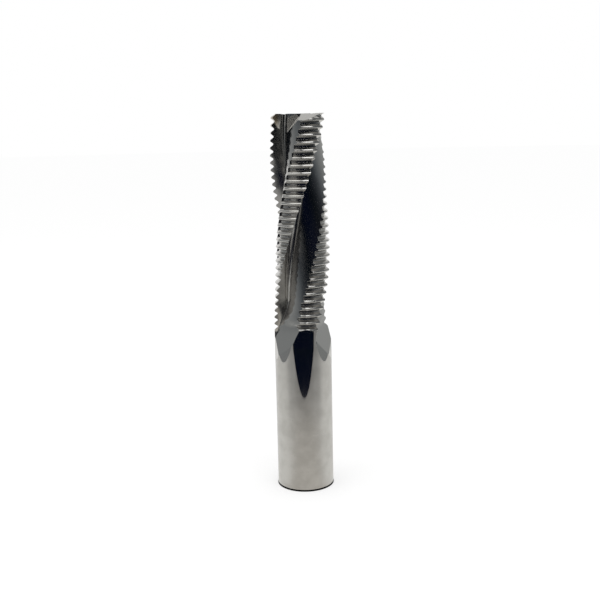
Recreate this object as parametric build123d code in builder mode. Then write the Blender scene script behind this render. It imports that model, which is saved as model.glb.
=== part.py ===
from build123d import *
import math
import os

os.makedirs("parts", exist_ok=True)

# Overall sizes in millimetres. The shank stands on the XY plane and the cutting end points up.
shank_radius = 8.0
total_length = 105.0
shank_chamfer = 0.5

# Right-hand helix of the three flutes. Angles grow anticlockwise seen from the cutting end.
flutes = 3
flute_pitch = 360.0 / flutes
helix_angle = 20.0
lead = 2 * math.pi * shank_radius / math.tan(math.radians(helix_angle))
first_edge_angle = 93.3

# Cross-section of one flute, in the frame of the cutting edge that follows it anticlockwise
edge_radius = 7.97
rake_angle = 12.0
rake_length = 4.2
gullet_floor_x = -2.05
gullet_floor_y = -2.88
gullet_end_x = -1.52
back_radius = 9.8
back_centre_x = 4.24
back_centre_y = 4.52
back_middle_x = 2.5
back_end_x = 9.0
tool_margin = 6.0

# Run-out below the helical part. The rake wall climbs out of the shank and stops turning,
# while the back of the flute flattens into a sloping facet. Directions are those of the first flute.
runout_top = 54.5
runout_ease = 4.0
runout_bottom = 38.0
runout_sections = 17
last_wall_turn = -63.0
last_gullet_scale = 0.25
facet_slope = 21.5
facet_direction = -147.0
facet_start = 48.5
facet_top = 45.3
facet_crown = 0.06
facet_middle = 2.2

# Relief of the land behind each edge, ground about an axis beside the cutter axis
relief_offset = 1.0
relief_lead = 60.0
relief_start = 12.0
relief_sweep = 72.0
relief_margin = 2.0

# Chip-breaker ridges across the relieved lands, staggered from land to land
ridge_pitch = 2.0
ridge_depth = 0.86
lowest_groove_height = 47.69
groove_floor_width = 0.34
crest_width = 0.16
crest_bevel_depth = 0.12
crest_bevel_angle = 30.0

# Leaf-shaped flat on the plain land below the ridges
leaf_tip_height = 27.1
leaf_bend_height = 41.5
leaf_bend_depth = 0.53
leaf_top_height = 47.4
leaf_top_depth = 0.58
leaf_direction = -89.7

# Two shallow lobes below each facet
lobe_slope = 6.0
lobe_tip_height = 37.3
lobe_width = 14.0
lobe_length = 6.0
lobe_directions = (-162.5, -134.5)

# Cutting end: a gash in front of every end tooth and clearance behind it
gash_descent = 47.0
gash_opening = 30.0
gash_centre_drop = 0.8
gash_lead = 0.15
gash_length = 14.0
clearance_angle = 20.0
clearance_land = 0.5
clearance_width = 12.0


def polar(radius, degrees):
    angle = math.radians(degrees)
    return Vector(radius * math.cos(angle), radius * math.sin(angle), 0)


def turned(point, degrees):
    return point.rotate(Axis.Z, degrees)


def mixed(first, second, share):
    return first * (1 - share) + second * share


def edge_angle(height):
    return first_edge_angle - 360.0 * (total_length - height) / lead


def section_plane(height):
    return Plane((0, 0, height), x_dir=polar(1, edge_angle(height)), z_dir=(0, 0, 1))


def back_point(x):
    return Vector(x, back_centre_y - math.sqrt(back_radius**2 - (x - back_centre_x) ** 2), 0)


# Corner points of the flute section
last_edge = polar(edge_radius, -flute_pitch)
rake_direction = polar(1, 180 - flute_pitch + rake_angle)
rake_root = last_edge + rake_direction * rake_length
rake_outside = last_edge - rake_direction * tool_margin
gullet_floor = Vector(gullet_floor_x, gullet_floor_y, 0)
gullet_end = back_point(gullet_end_x)
back_middle = back_point(back_middle_x)
back_end = back_point(back_end_x)
flute_corner = polar(shank_radius + tool_margin, -flute_pitch / 2)

# Tool that clears the helical part of one flute
with BuildPart() as flute_tool:
    with BuildSketch(section_plane(runout_top)):
        with BuildLine():
            Line(rake_outside, rake_root)
            ThreePointArc(rake_root, gullet_floor, gullet_end)
            ThreePointArc(gullet_end, back_middle, back_end)
            Line(back_end, flute_corner)
            Line(flute_corner, rake_outside)
        make_face()
    flute_height = total_length - runout_top + relief_margin
    flute_axis = Line((0, 0, runout_top), (0, 0, runout_top + flute_height), mode=Mode.PRIVATE)
    flute_guide = Helix(lead, flute_height, shank_radius, center=(0, 0, runout_top), mode=Mode.PRIVATE)
    sweep(path=flute_axis, binormal=flute_guide)

# The facet leaves the shank where the rake wall has climbed out of it
facet_normal = polar(1, facet_direction)
facet_along = polar(1, facet_direction + 90)
facet_rise = math.tan(math.radians(facet_slope))
wall_rise = -facet_rise / turned(rake_direction, last_wall_turn).dot(facet_normal)
wall_end_height = runout_top - runout_ease / 2 - rake_length / wall_rise
wall_end_distance = turned(last_edge, last_wall_turn).dot(facet_normal)


def runout_points(height):
    drop = runout_top - height
    eased = min(drop, runout_ease)
    wall_depth = rake_length - wall_rise * (drop - eased + eased**2 / (2 * runout_ease))
    wall_turn = max(edge_angle(height), last_wall_turn)
    crease = turned(last_edge + rake_direction * wall_depth, wall_turn)

    gullet_scale = 1 - (1 - last_gullet_scale) * min(1, drop / (runout_top - facet_top))
    floor = crease + turned(gullet_floor - rake_root, wall_turn) * gullet_scale
    floor_end = crease + turned(gullet_end - rake_root, wall_turn) * gullet_scale

    facet_distance = wall_end_distance - facet_rise * (height - wall_end_height)
    flatness = min(1, max(0, (facet_start - height) / (facet_start - facet_top)))
    facet_centre = facet_normal * (facet_distance + facet_crown) + facet_along * facet_middle
    facet_outside = facet_normal * facet_distance + facet_along * back_end_x
    middle = mixed(turned(back_middle, edge_angle(height)), facet_centre, flatness)
    outside = mixed(turned(back_end, edge_angle(height)), facet_outside, flatness)
    return turned(rake_outside, wall_turn), crease, floor, floor_end, middle, outside


# Tool that clears the run-out below the same flute, lofted through sections that follow the helix
with BuildPart() as runout_tool:
    for section in range(runout_sections):
        height = runout_top - (runout_top - runout_bottom) * section / (runout_sections - 1)
        wall_outside, crease, floor, floor_end, middle, back_outside = runout_points(height)
        corner = turned(flute_corner, edge_angle(height))
        with BuildSketch(Plane.XY.offset(height)):
            with BuildLine():
                Line(wall_outside, crease)
                ThreePointArc(crease, floor, floor_end)
                ThreePointArc(floor_end, middle, back_outside)
                Line(back_outside, corner)
                Line(corner, wall_outside)
            make_face()
    loft()

# Tool that lowers the land behind the cutting edge by the relief
relief_axis = polar(relief_offset, relief_lead)
relief_radius = (Vector(edge_radius, 0, 0) - relief_axis).length
with BuildPart() as relief_tool:
    with BuildSketch(section_plane(lowest_groove_height)):
        with BuildLine():
            relief_arc = CenterArc(relief_axis, relief_radius, relief_start, -relief_sweep)
            Line(relief_arc @ 0, polar(shank_radius + tool_margin, 0))
            Line(polar(shank_radius + tool_margin, 0), polar(shank_radius + tool_margin, -relief_sweep / 2))
            Line(polar(shank_radius + tool_margin, -relief_sweep / 2), relief_arc @ 1)
        make_face()
    relief_bottom = Vector(0, 0, lowest_groove_height)
    relief_height = total_length - lowest_groove_height + relief_margin
    relief_path = Line(relief_bottom, relief_bottom + Vector(0, 0, relief_height), mode=Mode.PRIVATE)
    relief_guide = Helix(lead, relief_height, shank_radius, center=relief_bottom, mode=Mode.PRIVATE)
    sweep(path=relief_path, binormal=relief_guide)

# Tool that grinds one groove between two ridges, turned about the relief axis
crest_bevel_run = crest_bevel_depth / math.tan(math.radians(crest_bevel_angle))
bevel_outer = Vector(relief_radius + crest_bevel_depth, (ridge_pitch - crest_width) / 2 + crest_bevel_run)
bevel_inner = Vector(relief_radius - crest_bevel_depth, (ridge_pitch - crest_width) / 2 - crest_bevel_run)
floor_corner = Vector(relief_radius - ridge_depth, groove_floor_width / 2)
groove_outside = relief_radius + relief_margin
groove_direction = polar(1, relief_start - relief_sweep)
groove_plane = Plane(relief_axis, x_dir=groove_direction, z_dir=groove_direction.cross(Vector(0, 0, 1)))
with BuildPart() as groove_tool:
    with BuildSketch(groove_plane):
        with BuildLine():
            groove_side = Polyline(
                (floor_corner.X, 0),
                floor_corner,
                bevel_inner,
                bevel_outer,
                (groove_outside, bevel_outer.Y),
                (groove_outside, 0),
            )
            mirror(groove_side, about=Plane.XZ)
        make_face()
    revolve(axis=Axis(relief_axis, (0, 0, 1)), revolution_arc=relief_sweep)

# Each land's ridges sit a third of a pitch lower than those of the land before it, along the same helix
land_places = []
for land in range(flutes):
    land_shift = -land * ridge_pitch / flutes
    land_turn = land * flute_pitch + 360.0 * land_shift / lead
    land_places.append(Location((0, 0, land_shift), (0, 0, land_turn)))

# The last grooves lie above the end face, so that the lower lands are ridged up to it too
groove_places = []
groove_height = lowest_groove_height
while groove_height < total_length + 2 * ridge_pitch:
    groove_places.append(Location((0, 0, groove_height), (0, 0, edge_angle(groove_height))))
    groove_height += ridge_pitch

# Tool that grinds the leaf-shaped flat, drawn as its side profile and cut straight across
with BuildPart() as leaf_tool:
    with BuildSketch(Plane((0, 0, 0), x_dir=polar(1, leaf_direction), z_dir=polar(1, leaf_direction - 90))):
        with BuildLine():
            Polyline(
                (shank_radius, leaf_tip_height),
                (shank_radius - leaf_bend_depth, leaf_bend_height),
                (shank_radius - leaf_top_depth, leaf_top_height),
                (shank_radius + tool_margin, leaf_top_height),
                (shank_radius + tool_margin, leaf_tip_height),
                close=True,
            )
        make_face()
    extrude(amount=shank_radius, both=True)

# Tools that grind the two lobes below a facet
with BuildPart() as lobe_tool:
    for lobe_direction in lobe_directions:
        outward = polar(math.cos(math.radians(lobe_slope)), lobe_direction)
        normal = outward + Vector(0, 0, math.sin(math.radians(lobe_slope)))
        tip = polar(shank_radius, lobe_direction) + Vector(0, 0, lobe_tip_height)
        with Locations(Plane(tip, x_dir=polar(1, lobe_direction + 90), z_dir=normal)):
            Box(lobe_width, lobe_length, relief_margin, align=(Align.CENTER, Align.MIN, Align.MIN))

# Tool that gashes the end in front of one end tooth
gash_edge_angle = edge_angle(total_length)
with BuildPart() as gash_tool:
    across = polar(1, gash_edge_angle + 90)
    gash_corner = across * gash_lead + Vector(0, 0, total_length - gash_centre_drop)
    with BuildSketch(Plane(gash_corner, x_dir=across, z_dir=across.cross(Vector(0, 0, 1)))):
        with BuildLine():
            gash_rise = gash_length * math.tan(math.radians(gash_opening))
            Polyline((0, 0), (gash_length, gash_rise), (0, gash_length), close=True)
        make_face()
    gash_along = polar(math.cos(math.radians(gash_descent)), gash_edge_angle)
    extrude(amount=gash_length, dir=gash_along - Vector(0, 0, math.sin(math.radians(gash_descent))))

# Tool that clears the end face behind one end tooth
with BuildPart() as clearance_tool:
    behind = polar(1, gash_edge_angle - 90)
    with BuildSketch(Plane((0, 0, total_length), x_dir=behind, z_dir=behind.cross(Vector(0, 0, 1)))):
        with BuildLine():
            clearance_fall = clearance_width * math.tan(math.radians(clearance_angle))
            Polyline(
                (clearance_land, 0),
                (clearance_land + clearance_width, -clearance_fall),
                (clearance_land + clearance_width, relief_margin),
                (clearance_land, relief_margin),
                close=True,
            )
        make_face()
    extrude(amount=-shank_radius - relief_margin)

# The blank is cut by every tool in turn, the grooves last
with BuildPart() as cutter:
    Cylinder(shank_radius, total_length, align=(Align.CENTER, Align.CENTER, Align.MIN))
    chamfer(cutter.faces().sort_by(Axis.Z)[0].edges(), shank_chamfer)
    with Locations(*land_places):
        add(relief_tool.part, mode=Mode.SUBTRACT)
    with PolarLocations(0, flutes):
        add(flute_tool.part, mode=Mode.SUBTRACT)
    with PolarLocations(0, flutes):
        add(runout_tool.part, mode=Mode.SUBTRACT)
    with Locations(*land_places):
        add(leaf_tool.part, mode=Mode.SUBTRACT)
    with PolarLocations(0, flutes):
        add(lobe_tool.part, mode=Mode.SUBTRACT)
    with PolarLocations(0, flutes):
        add(gash_tool.part, mode=Mode.SUBTRACT)
    with PolarLocations(0, flutes):
        add(clearance_tool.part, mode=Mode.SUBTRACT)
    with Locations(*land_places):
        with Locations(*groove_places):
            add(groove_tool.part, mode=Mode.SUBTRACT)

cutter.part.label = "cutter"
export_step(cutter.part, "parts/cutter.step")
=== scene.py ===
import math

import bmesh
import bpy
from mathutils import Matrix, Vector

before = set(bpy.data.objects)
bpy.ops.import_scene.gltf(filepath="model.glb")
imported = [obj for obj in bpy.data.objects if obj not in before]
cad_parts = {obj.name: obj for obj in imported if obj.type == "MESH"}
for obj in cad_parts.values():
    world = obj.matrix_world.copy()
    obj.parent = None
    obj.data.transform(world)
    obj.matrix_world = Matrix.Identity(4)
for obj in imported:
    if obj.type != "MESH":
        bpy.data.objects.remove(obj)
bpy.context.view_layer.update()

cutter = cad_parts["cutter"]

# Sizes of the cutter that its material follows, in metres
SHANK_RADIUS = 0.008
LAND_FOOT = 0.0474
TOP = 0.105
HELIX_ANGLE = math.radians(20.0)
HELIX_TURN = math.tan(HELIX_ANGLE) / SHANK_RADIUS

# Where each zone of the cutter starts and where it is full, in metres
BELOW_LANDS = (LAND_FOOT + 0.0001, LAND_FOOT)
SHANK_WALL = (0.997 * SHANK_RADIUS, 0.9975 * SHANK_RADIUS)
LAND_WALL = (0.0071, 0.0074)
HEAT_HEIGHT = (TOP - 0.0046, TOP - 0.0014)
HEAT_RADIUS = (0.0050, 0.0068)
HEAT_SIDE = (-0.004, -0.0058)
# The same for the mottling, by its value from 0 to 1
HEAT_MOTTLE = (0.28, 0.48)
SATIN_MOTTLE = (0.3, 0.7)

# Scales of the grinding marks in x, y and z, where a low number draws the marks out
AROUND_SCALE = (90.0, 90.0, 5200.0)
ALONG_SCALE = (3600.0, 3600.0, 60.0)
UPRIGHT_SCALE = (5200.0, 5200.0, 240.0)
MOTTLE_SCALE = 260.0
GRAIN_SCALE = 2600.0

# Worn edges, lightened also as a painted highlight: how wide they are in metres, and how well the rounded
# normal still agrees with the true one where they start and where they are full
EDGE_WIDTH = 0.00009
EDGE_AGREE = (0.995, 0.90)

# Colours of the metal
POLISHED = (0.50, 0.49, 0.47, 1.0)
SATIN_DARK = (0.44, 0.43, 0.41, 1.0)
SATIN_PALE = (0.51, 0.50, 0.48, 1.0)
HEAT_TINT = (0.23, 0.185, 0.115, 1.0)
HEAT_SHARE = 0.85
# Lighter colour of the edges, partly wear and partly a painted highlight
WORN_AND_HIGHLIGHT = (0.72, 0.71, 0.69, 1.0)
WORN_AND_HIGHLIGHT_SHARE = 0.5

# Roughness of the metal, and how much the marks, the grain and the worn edges change it
CUT_ROUGH = 0.16
FACET_ROUGH = 0.10
SHANK_ROUGH = 0.32
CUT_MARKS_ROUGH = 0.08
SHANK_MARKS_ROUGH = 0.20
GRAIN_ROUGH = 0.05
WORN_ROUGH = 0.06

# Relief of the grinding marks, with its depth in metres
RELIEF_STRENGTH = 0.25
RELIEF_DEPTH = 0.000012
SHANK_RELIEF = 1.8

# Floor: its size in metres, the edge of a painted shadow under the cutter, the tones inside and outside that
# edge, and the glow that the camera and reflections see on it, which is also cut out under the cutter
FLOOR_RADIUS = 4.0
FLOOR_SIDES = 96
FOOT_SHADOW_ZONE = (0.0079, 0.0083)
FOOT_SHADOW_TONE = 0.01
FLOOR_TONE = 0.62
FLOOR_GLOW = 0.49

# World: its light on everything, and its strength where the camera and reflections see it
WHITE = (1.0, 1.0, 1.0, 1.0)
WORLD_LIGHT = 0.8
WORLD_SEEN = 1.0

# Height on the cutter that the lamps aim at, and that the card's rise is measured from
MIDDLE_HEIGHT = 0.06


class Nodes:
    """Adds nodes to one material and links them."""

    def __init__(self, tree):
        self.tree = tree
        tree.nodes.clear()

    def add(self, kind, **settings):
        node = self.tree.nodes.new(kind)
        for name, value in settings.items():
            setattr(node, name, value)
        return node

    def link(self, source, target):
        self.tree.links.new(source, target)

    def put(self, socket, value):
        if isinstance(value, bpy.types.NodeSocket):
            self.link(value, socket)
        else:
            socket.default_value = value

    def math(self, operation, a, b=0.0, clamp=False):
        node = self.add("ShaderNodeMath", operation=operation, use_clamp=clamp)
        self.put(node.inputs[0], a)
        self.put(node.inputs[1], b)
        return node.outputs[0]

    def product(self, first, *others):
        for other in others:
            first = self.math("MULTIPLY", first, other)
        return first

    def vector(self, operation, a, b=(0.0, 0.0, 0.0)):
        node = self.add("ShaderNodeVectorMath", operation=operation)
        self.put(node.inputs[0], a)
        self.put(node.inputs[1], b)
        gives_number = operation in {"DOT_PRODUCT", "LENGTH"}
        return node.outputs["Value" if gives_number else "Vector"]

    def place(self):
        """The object's own coordinates."""
        return self.add("ShaderNodeTexCoord").outputs["Object"]

    def split(self, vector):
        node = self.add("ShaderNodeSeparateXYZ")
        self.link(vector, node.inputs[0])
        return node.outputs

    def flat_length(self, x, y):
        """Distance from the upright axis."""
        return self.math("SQRT", self.math("ADD", self.math("MULTIPLY", x, x), self.math("MULTIPLY", y, y)))

    def ramp(self, value, low, high, to_low=0.0, to_high=1.0):
        """Smooth step from to_low, where the value is low, to to_high, where it is high."""
        node = self.add("ShaderNodeMapRange", interpolation_type="SMOOTHSTEP")
        self.put(node.inputs["Value"], value)
        self.put(node.inputs["From Min"], low)
        self.put(node.inputs["From Max"], high)
        self.put(node.inputs["To Min"], to_low)
        self.put(node.inputs["To Max"], to_high)
        return node.outputs["Result"]

    def noise(self, vector, scale, detail, rough):
        node = self.add("ShaderNodeTexNoise")
        self.put(node.inputs["Vector"], vector)
        self.put(node.inputs["Scale"], scale)
        self.put(node.inputs["Detail"], detail)
        self.put(node.inputs["Roughness"], rough)
        return node.outputs["Fac"]

    def stretched_noise(self, vector, scales, detail):
        return self.noise(self.vector("MULTIPLY", vector, scales), scale=1.0, detail=detail, rough=0.6)

    def vary(self, value, pattern, amount):
        """Value moved up and down by a pattern that lies round 0.5."""
        return self.math("ADD", value, self.math("MULTIPLY", self.math("SUBTRACT", pattern, 0.5), amount))

    def mix(self, share, a, b):
        node = self.add("ShaderNodeMix", data_type="FLOAT")
        self.put(node.inputs[0], share)
        self.put(node.inputs[2], a)
        self.put(node.inputs[3], b)
        return node.outputs[0]

    def mix_color(self, share, a, b):
        node = self.add("ShaderNodeMix", data_type="RGBA")
        self.put(node.inputs[0], share)
        self.put(node.inputs[6], a)
        self.put(node.inputs[7], b)
        return node.outputs[2]

    def finish(self, shader):
        output = self.add("ShaderNodeOutputMaterial")
        self.link(shader.outputs[0], output.inputs["Surface"])


def new_material(name):
    material = bpy.data.materials.new(name)
    material.use_nodes = True
    return material, Nodes(material.node_tree)


def carbide_material():
    material, n = new_material("carbide_ground")
    place = n.place()
    x, y, z = n.split(place)
    radius = n.flat_length(x, y)

    # Zones: everything below the lands, the round wall of the shank, and the ridges of the lands
    below_lands = n.ramp(z, *BELOW_LANDS)
    shank = n.product(below_lands, n.ramp(radius, *SHANK_WALL))
    land = n.product(n.math("SUBTRACT", 1.0, below_lands), n.ramp(radius, *LAND_WALL))

    # Grinding marks: round the shank and the lands, along the helix in the flutes, upright on the facets
    around_marks = n.stretched_noise(place, AROUND_SCALE, detail=4.0)
    untwist = n.add("ShaderNodeVectorRotate", rotation_type="Z_AXIS")
    n.link(place, untwist.inputs["Vector"])
    n.link(n.math("MULTIPLY", z, -HELIX_TURN), untwist.inputs["Angle"])
    along_marks = n.stretched_noise(untwist.outputs[0], ALONG_SCALE, detail=4.0)
    upright_marks = n.stretched_noise(place, UPRIGHT_SCALE, detail=3.0)
    cut_marks = n.mix(below_lands, along_marks, upright_marks)
    marks = n.mix(n.math("MAXIMUM", shank, land), cut_marks, around_marks)
    mottle = n.noise(place, MOTTLE_SCALE, detail=3.0, rough=0.5)
    grain = n.noise(place, GRAIN_SCALE, detail=2.0, rough=0.5)

    # Worn edges, lighter partly as wear and partly as a painted highlight, found where a rounded normal
    # leaves the true one
    bevel = n.add("ShaderNodeBevel", samples=4)
    bevel.inputs["Radius"].default_value = EDGE_WIDTH
    geometry = n.add("ShaderNodeNewGeometry")
    agree = n.vector("DOT_PRODUCT", bevel.outputs["Normal"], geometry.outputs["Normal"])
    edge = n.ramp(agree, *EDGE_AGREE)

    # Slight warm tint of heat at the end of the tooth on the left
    heat = n.product(
        n.ramp(z, *HEAT_HEIGHT),
        n.ramp(radius, *HEAT_RADIUS),
        n.ramp(mottle, *HEAT_MOTTLE),
        n.ramp(x, *HEAT_SIDE),
    )

    satin = n.mix_color(n.ramp(mottle, *SATIN_MOTTLE), SATIN_DARK, SATIN_PALE)
    color = n.mix_color(shank, POLISHED, satin)
    color = n.mix_color(n.math("MULTIPLY", heat, HEAT_SHARE), color, HEAT_TINT)
    # Edges lightened: wear together with a painted highlight
    color = n.mix_color(n.math("MULTIPLY", edge, WORN_AND_HIGHLIGHT_SHARE), color, WORN_AND_HIGHLIGHT)

    rough = n.mix(shank, n.mix(below_lands, CUT_ROUGH, FACET_ROUGH), SHANK_ROUGH)
    rough = n.vary(rough, marks, n.mix(shank, CUT_MARKS_ROUGH, SHANK_MARKS_ROUGH))
    rough = n.vary(rough, grain, GRAIN_ROUGH)
    rough = n.math("ADD", rough, n.math("MULTIPLY", edge, WORN_ROUGH), clamp=True)

    bump = n.add("ShaderNodeBump")
    bump.inputs["Strength"].default_value = RELIEF_STRENGTH
    bump.inputs["Distance"].default_value = RELIEF_DEPTH
    n.link(n.math("MULTIPLY", marks, n.mix(shank, 1.0, SHANK_RELIEF)), bump.inputs["Height"])
    n.link(bevel.outputs["Normal"], bump.inputs["Normal"])

    shader = n.add("ShaderNodeBsdfPrincipled")
    shader.inputs["Metallic"].default_value = 1.0
    n.link(color, shader.inputs["Base Color"])
    n.link(rough, shader.inputs["Roughness"])
    n.link(bump.outputs["Normal"], shader.inputs["Normal"])
    n.finish(shader)
    return material


for slot in cutter.material_slots:
    slot.material = carbide_material()


def seen_directly(n):
    """1 for camera, glossy and transmission rays, which all see the same pale studio."""
    path = n.add("ShaderNodeLightPath")
    seen = n.math("MAXIMUM", path.outputs["Is Camera Ray"], path.outputs["Is Glossy Ray"])
    return n.math("MAXIMUM", seen, path.outputs["Is Transmission Ray"])


def floor_material():
    """Pale floor with a painted shadow under the cutter, dark in colour and without glow there, so that the
    chamfer of its foot shows dark.
    """
    material, n = new_material("studio_floor")
    diffuse = n.add("ShaderNodeBsdfDiffuse")
    glow = n.add("ShaderNodeEmission")
    glow.inputs["Color"].default_value = WHITE
    reach = n.vector("LENGTH", n.place())
    # Painted shadow under the cutter: there the floor's colour turns dark and its glow goes out
    n.link(n.ramp(reach, *FOOT_SHADOW_ZONE, FOOT_SHADOW_TONE, FLOOR_TONE), diffuse.inputs["Color"])
    strength = n.math("MULTIPLY", seen_directly(n), n.ramp(reach, *FOOT_SHADOW_ZONE, 0.0, FLOOR_GLOW))
    n.link(strength, glow.inputs["Strength"])
    both = n.add("ShaderNodeAddShader")
    n.link(diffuse.outputs[0], both.inputs[0])
    n.link(glow.outputs[0], both.inputs[1])
    n.finish(both)
    return material


def new_mesh(name, build, material):
    mesh = bpy.data.meshes.new(name)
    shape = bmesh.new()
    build(shape)
    shape.to_mesh(mesh)
    shape.free()
    mesh.materials.append(material)
    made = bpy.data.objects.new(name, mesh)
    bpy.context.scene.collection.objects.link(made)
    return made


def build_floor(shape):
    bmesh.ops.create_circle(shape, cap_ends=True, segments=FLOOR_SIDES, radius=FLOOR_RADIUS)


new_mesh("floor", build_floor, floor_material())

# The card stands round the cutter and is seen only in reflections. Its tones are what a mirror would show.
# Tones of its wall, by degrees from its middle, which is dark
WALL_TONES = (
    (1.0, (0.002, 0.004, 0.015)),
    (20.0, (0.002, 0.004, 0.011)),
    (32.0, (0.003, 0.005, 0.008)),
    (44.0, (0.010, 0.013, 0.018)),
    (55.0, (0.029, 0.034, 0.041)),
    (66.0, (0.062, 0.070, 0.080)),
    (80.0, (0.145, 0.16, 0.175)),
    (100.0, (0.27, 0.285, 0.295)),
    (128.0, (0.42, 0.435, 0.44)),
    (146.0, (0.46, 0.47, 0.47)),
    (157.0, (0.95, 0.95, 0.94)),
)
# Tones of its part on the floor next to the cutter, which the shank shows, by degrees from NEAR_MIDDLE
NEAR_TONES = (
    (1.0, (0.76, 0.735, 0.69)),
    (30.0, (0.78, 0.755, 0.71)),
    (50.0, (0.82, 0.805, 0.77)),
    (64.0, (0.97, 0.965, 0.935)),
    (85.0, (1.0, 1.0, 0.97)),
    (150.0, (1.0, 1.0, 0.98)),
)
# Tones of its part on the floor further out, which the flutes show, by degrees from its middle
FAR_TONES = (
    (26.0, (0.004, 0.007, 0.012)),
    (48.0, (0.11, 0.12, 0.13)),
    (62.0, (0.20, 0.21, 0.22)),
    (76.0, (0.29, 0.30, 0.31)),
    (100.0, (0.31, 0.325, 0.33)),
    (112.0, (0.39, 0.40, 0.40)),
    (140.0, (0.50, 0.51, 0.51)),
)
NEAR_MIDDLE = 7.0
HALF_TURN = 180.0

# Patches of the card: their tones, and their soft edges. An edge has the measure that it follows, where the
# patch starts and where it is full. Turn is in degrees from the middle, to the left below 0, side is turn
# without its sign, near_side the same from NEAR_MIDDLE, and rise is in degrees above MIDDLE_HEIGHT. Reach,
# height, width and depth are in metres.
FAR_EDGES = (("reach", 0.20, 0.25), ("rise", -5.0, -8.0))
# Pale patch far out on the left, for the glint low in the left flute
GLINT_TONE = (0.55, 0.55, 0.54, 1.0)
GLINT_EDGES = (("turn", -62.0, -52.0), ("reach", 0.40, 0.46), ("turn", -24.0, -34.0), ("height", 0.05, 0.03))
# Pale patch nearer on the left, for the wall of that flute
LOW_TONE = (0.52, 0.525, 0.52, 1.0)
LOW_EDGES = (("turn", -47.0, -41.0), ("reach", 0.165, 0.18), ("turn", -19.0, -28.0), ("reach", 0.235, 0.205))
# Upper part of the card, with a tone for its left, its right and its back
HIGH_EDGES = (("rise", 17.0, 30.0),)
LEFT_HIGH_TONE = (0.46, 0.47, 0.475, 1.0)
RIGHT_HIGH_TONE = (0.17, 0.178, 0.185, 1.0)
RIGHT_HIGH_EDGES = (("turn", -30.0, 50.0),)
BACK_TONE = (0.72, 0.72, 0.71, 1.0)
BACK_EDGES = (("side", 105.0, 140.0),)
# Bright band high on the left, for the lines on the ridges. Its left end reaches less far up.
BAND_TONE = (1.6, 1.6, 1.57, 1.0)
BAND_EDGES = (("rise", 44.0, 48.0), ("turn", -4.0, -16.0), ("turn", -108.0, -94.0))
BAND_RIGHT_EDGES = (("turn", -64.0, -54.0),)
BAND_LOWER_EDGES = (("rise", 55.0, 52.0),)
# Darker patch above the band's left end, for the tinted tooth
DARK_TONE = (0.16, 0.16, 0.16, 1.0)
DARK_EDGES = (("turn", -58.0, -64.0), ("rise", 50.0, 53.0), ("turn", -90.0, -80.0))
# Dark part straight above the cutter
TOP_TONE = (0.045, 0.047, 0.05, 1.0)
TOP_EDGES = (("rise", 56.0, 61.0),)
# Less pale rings on the floor in front
DIM_TONE = (0.46, 0.46, 0.455, 1.0)
DIM_EDGES = (("near_side", 74.0, 56.0), ("reach", 0.068, 0.084))
RING_TONE = (0.70, 0.70, 0.69, 1.0)
RING_EDGES = (("near_side", 74.0, 56.0), ("reach", 0.12, 0.135))
# Where the tones of the wall take the place of those next to the cutter: further out, in a strip in front
# that the leaf-shaped flat shows, and less strongly in the middle
OUTER_EDGES = (("reach", 0.18, 0.215),)
STRIP_EDGES = (("width", 0.048, 0.028), ("reach", 0.108, 0.118), ("depth", 0.0, -0.02))
MIDDLE_EDGES = (("near_side", 46.0, 28.0), ("reach", 0.118, 0.135))
MIDDLE_SHARE = 0.9

# Rows of the card, from the cutter outwards and then up: radius and height in metres, and where the row
# starts and ends, in degrees from the front. The lower rows leave a gap at the back.
CARD_LEFT = -130
CARD_RIGHT = 160
CARD_ROWS = (
    (0.0083, 0.0001, CARD_LEFT, CARD_RIGHT),
    (0.74, 0.0006, CARD_LEFT, CARD_RIGHT),
    (0.80, 0.05, CARD_LEFT, CARD_RIGHT),
    (0.80, 0.36, CARD_LEFT, CARD_RIGHT),
    (0.74, 0.50, -180, 180),
    (0.45, 0.76, -180, 180),
    (0.0, 0.84, -180, 180),
)
CARD_COLUMNS = 90
# Direction of the front, and how far the finished card is turned from it
CARD_FRONT = -90
CARD_TURN = math.radians(-4)


def tone_ramp(n, degrees, tones):
    """Tones of the card by an angle in degrees, which runs from 0 in front to a half turn at the back."""
    ramp = n.add("ShaderNodeValToRGB")
    n.link(n.math("DIVIDE", degrees, HALF_TURN), ramp.inputs[0])
    elements = ramp.color_ramp.elements
    for place, color in tones:
        stop = elements.new(place / HALF_TURN)
        stop.color = (*color, 1.0)
    elements.remove(elements[-1])
    elements.remove(elements[0])
    return ramp.outputs[0]


def card_measures(n):
    """The measures that the edges of the card's patches follow, from the card's own coordinates."""
    x, y, z = n.split(n.place())
    turn = n.math("DEGREES", n.math("ARCTAN2", x, n.math("MULTIPLY", y, -1.0)))
    reach = n.flat_length(x, y)
    rise = n.math("DEGREES", n.math("ARCTAN2", n.math("SUBTRACT", z, MIDDLE_HEIGHT), reach))
    return {
        "turn": turn,
        "side": n.math("ABSOLUTE", turn),
        "near_side": n.math("ABSOLUTE", n.math("SUBTRACT", turn, NEAR_MIDDLE)),
        "reach": reach,
        "rise": rise,
        "height": z,
        "width": n.math("ABSOLUTE", x),
        "depth": y,
    }


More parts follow.
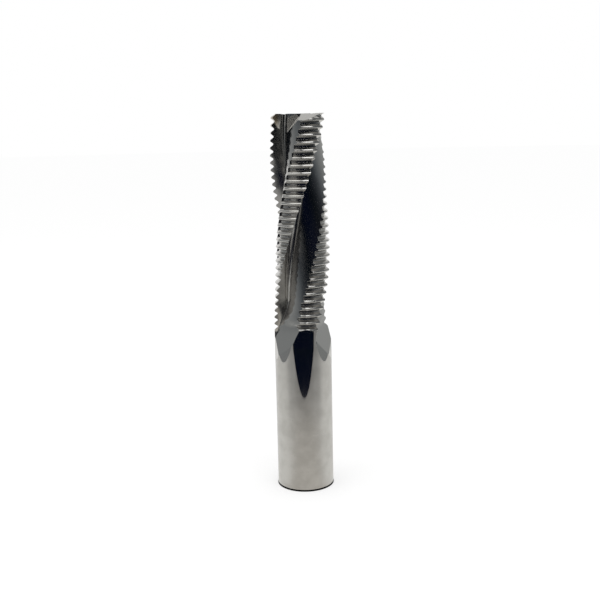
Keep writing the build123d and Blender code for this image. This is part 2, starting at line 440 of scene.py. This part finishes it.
def card_material():
    """Unlit card, dark in front of the cutter and pale behind it."""
    material, n = new_material("studio_card")
    material.cycles.emission_sampling = "NONE"
    measures = card_measures(n)

    def patch(edges):
        return n.product(*[n.ramp(measures[name], start, full) for name, start, full in edges])

    wall = tone_ramp(n, measures["side"], WALL_TONES)
    wall = n.mix_color(patch(FAR_EDGES), wall, tone_ramp(n, measures["side"], FAR_TONES))
    wall = n.mix_color(patch(GLINT_EDGES), wall, GLINT_TONE)
    wall = n.mix_color(patch(LOW_EDGES), wall, LOW_TONE)

    band_end = n.math("MAXIMUM", patch(BAND_RIGHT_EDGES), patch(BAND_LOWER_EDGES))
    high = n.mix_color(patch(RIGHT_HIGH_EDGES), LEFT_HIGH_TONE, RIGHT_HIGH_TONE)
    high = n.mix_color(patch(BACK_EDGES), high, BACK_TONE)
    high = n.mix_color(n.product(patch(BAND_EDGES), band_end), high, BAND_TONE)
    high = n.mix_color(patch(DARK_EDGES), high, DARK_TONE)
    wall = n.mix_color(patch(HIGH_EDGES), wall, high)
    wall = n.mix_color(patch(TOP_EDGES), wall, TOP_TONE)

    near = tone_ramp(n, measures["near_side"], NEAR_TONES)
    near = n.mix_color(patch(DIM_EDGES), near, DIM_TONE)
    near = n.mix_color(patch(RING_EDGES), near, RING_TONE)

    middle = n.math("MULTIPLY", patch(MIDDLE_EDGES), MIDDLE_SHARE)
    wall_share = n.math("MAXIMUM", patch(OUTER_EDGES), n.math("MAXIMUM", patch(STRIP_EDGES), middle))
    glow = n.add("ShaderNodeEmission")
    n.link(n.mix_color(wall_share, near, wall), glow.inputs["Color"])
    n.finish(glow)
    return material


def build_card(shape):
    """Card that lies on the floor round the cutter, rises as a wall and closes above."""
    rows = []
    for radius, height, first, last in CARD_ROWS:
        row = []
        for column in range(CARD_COLUMNS + 1):
            angle = math.radians(CARD_FRONT + first + (last - first) * column / CARD_COLUMNS)
            row.append(shape.verts.new((radius * math.cos(angle), radius * math.sin(angle), height)))
        rows.append(row)
    for low, high in zip(rows, rows[1:]):
        for column in range(CARD_COLUMNS):
            shape.faces.new((low[column], low[column + 1], high[column + 1], high[column]))


card = new_mesh("card", build_card, card_material())
card.rotation_euler.z = CARD_TURN
card.visible_camera = False
card.visible_diffuse = False
card.visible_shadow = False
card.visible_transmission = False


def add_lamp(name, azimuth, elevation, distance, size, radiance):
    """Soft rectangular lamp aimed at the cutter, placed by angles from the camera's side."""
    data = bpy.data.lights.new(name, "AREA")
    data.shape = "RECTANGLE"
    data.size, data.size_y = size
    data.energy = radiance * math.pi * size[0] * size[1]
    lamp = bpy.data.objects.new(name, data)
    bpy.context.scene.collection.objects.link(lamp)
    side = math.radians(azimuth)
    lift = math.radians(elevation)
    away = Vector((math.cos(lift) * math.sin(side), -math.cos(lift) * math.cos(side), math.sin(lift)))
    aim = Vector((0, 0, MIDDLE_HEIGHT))
    lamp.location = aim + distance * away
    lamp.rotation_mode = "QUATERNION"
    lamp.rotation_quaternion = (aim - lamp.location).to_track_quat("-Z", "Y")
    return lamp


add_lamp("key", azimuth=27, elevation=55, distance=0.55, size=(0.35, 0.15), radiance=1.9)
fill = add_lamp("fill", azimuth=-60, elevation=60, distance=0.6, size=(0.30, 0.30), radiance=1.0)
fill.visible_glossy = False

world = bpy.data.worlds.new("studio")
bpy.context.scene.world = world
world.use_nodes = True
world.cycles.sampling_method = "NONE"
world_nodes = Nodes(world.node_tree)
sky = world_nodes.add("ShaderNodeBackground")
sky.inputs["Color"].default_value = WHITE
sky_strength = world_nodes.mix(seen_directly(world_nodes), WORLD_LIGHT, WORLD_SEEN)
world_nodes.link(sky_strength, sky.inputs["Strength"])
world_nodes.link(sky.outputs[0], world_nodes.add("ShaderNodeOutputWorld").inputs["Surface"])

# Camera at the photo's viewing angle: just below the top of the cutter, looking down and slightly rolled.
# Place in metres, pitch and roll in radians, sensor and lens in millimetres.
CAMERA_PLACE = (0, -0.240912, 0.101107)
CAMERA_PITCH = 0.19385
CAMERA_ROLL = -0.02133
CAMERA_SENSOR = 36.0
CAMERA_LENS = 52.49
CAMERA_SHIFT = -0.00372
CAMERA_CLIP = (0.01, 20.0)

camera_data = bpy.data.cameras.new("camera")
camera = bpy.data.objects.new("camera", camera_data)
bpy.context.scene.collection.objects.link(camera)
forward = Vector((0, math.cos(CAMERA_PITCH), -math.sin(CAMERA_PITCH)))
up = Vector((0, math.sin(CAMERA_PITCH), math.cos(CAMERA_PITCH)))
right = Vector((1, 0, 0))
rolled_right = right * math.cos(CAMERA_ROLL) + up * math.sin(CAMERA_ROLL)
rolled_up = up * math.cos(CAMERA_ROLL) - right * math.sin(CAMERA_ROLL)
camera_matrix = Matrix((rolled_right, rolled_up, -forward)).transposed().to_4x4()
camera_matrix.translation = CAMERA_PLACE
camera.matrix_world = camera_matrix
camera_data.sensor_width = CAMERA_SENSOR
camera_data.lens = CAMERA_LENS
camera_data.shift_x = CAMERA_SHIFT
camera_data.clip_start, camera_data.clip_end = CAMERA_CLIP
bpy.context.scene.camera = camera

bpy.context.scene.view_settings.view_transform = "Standard"
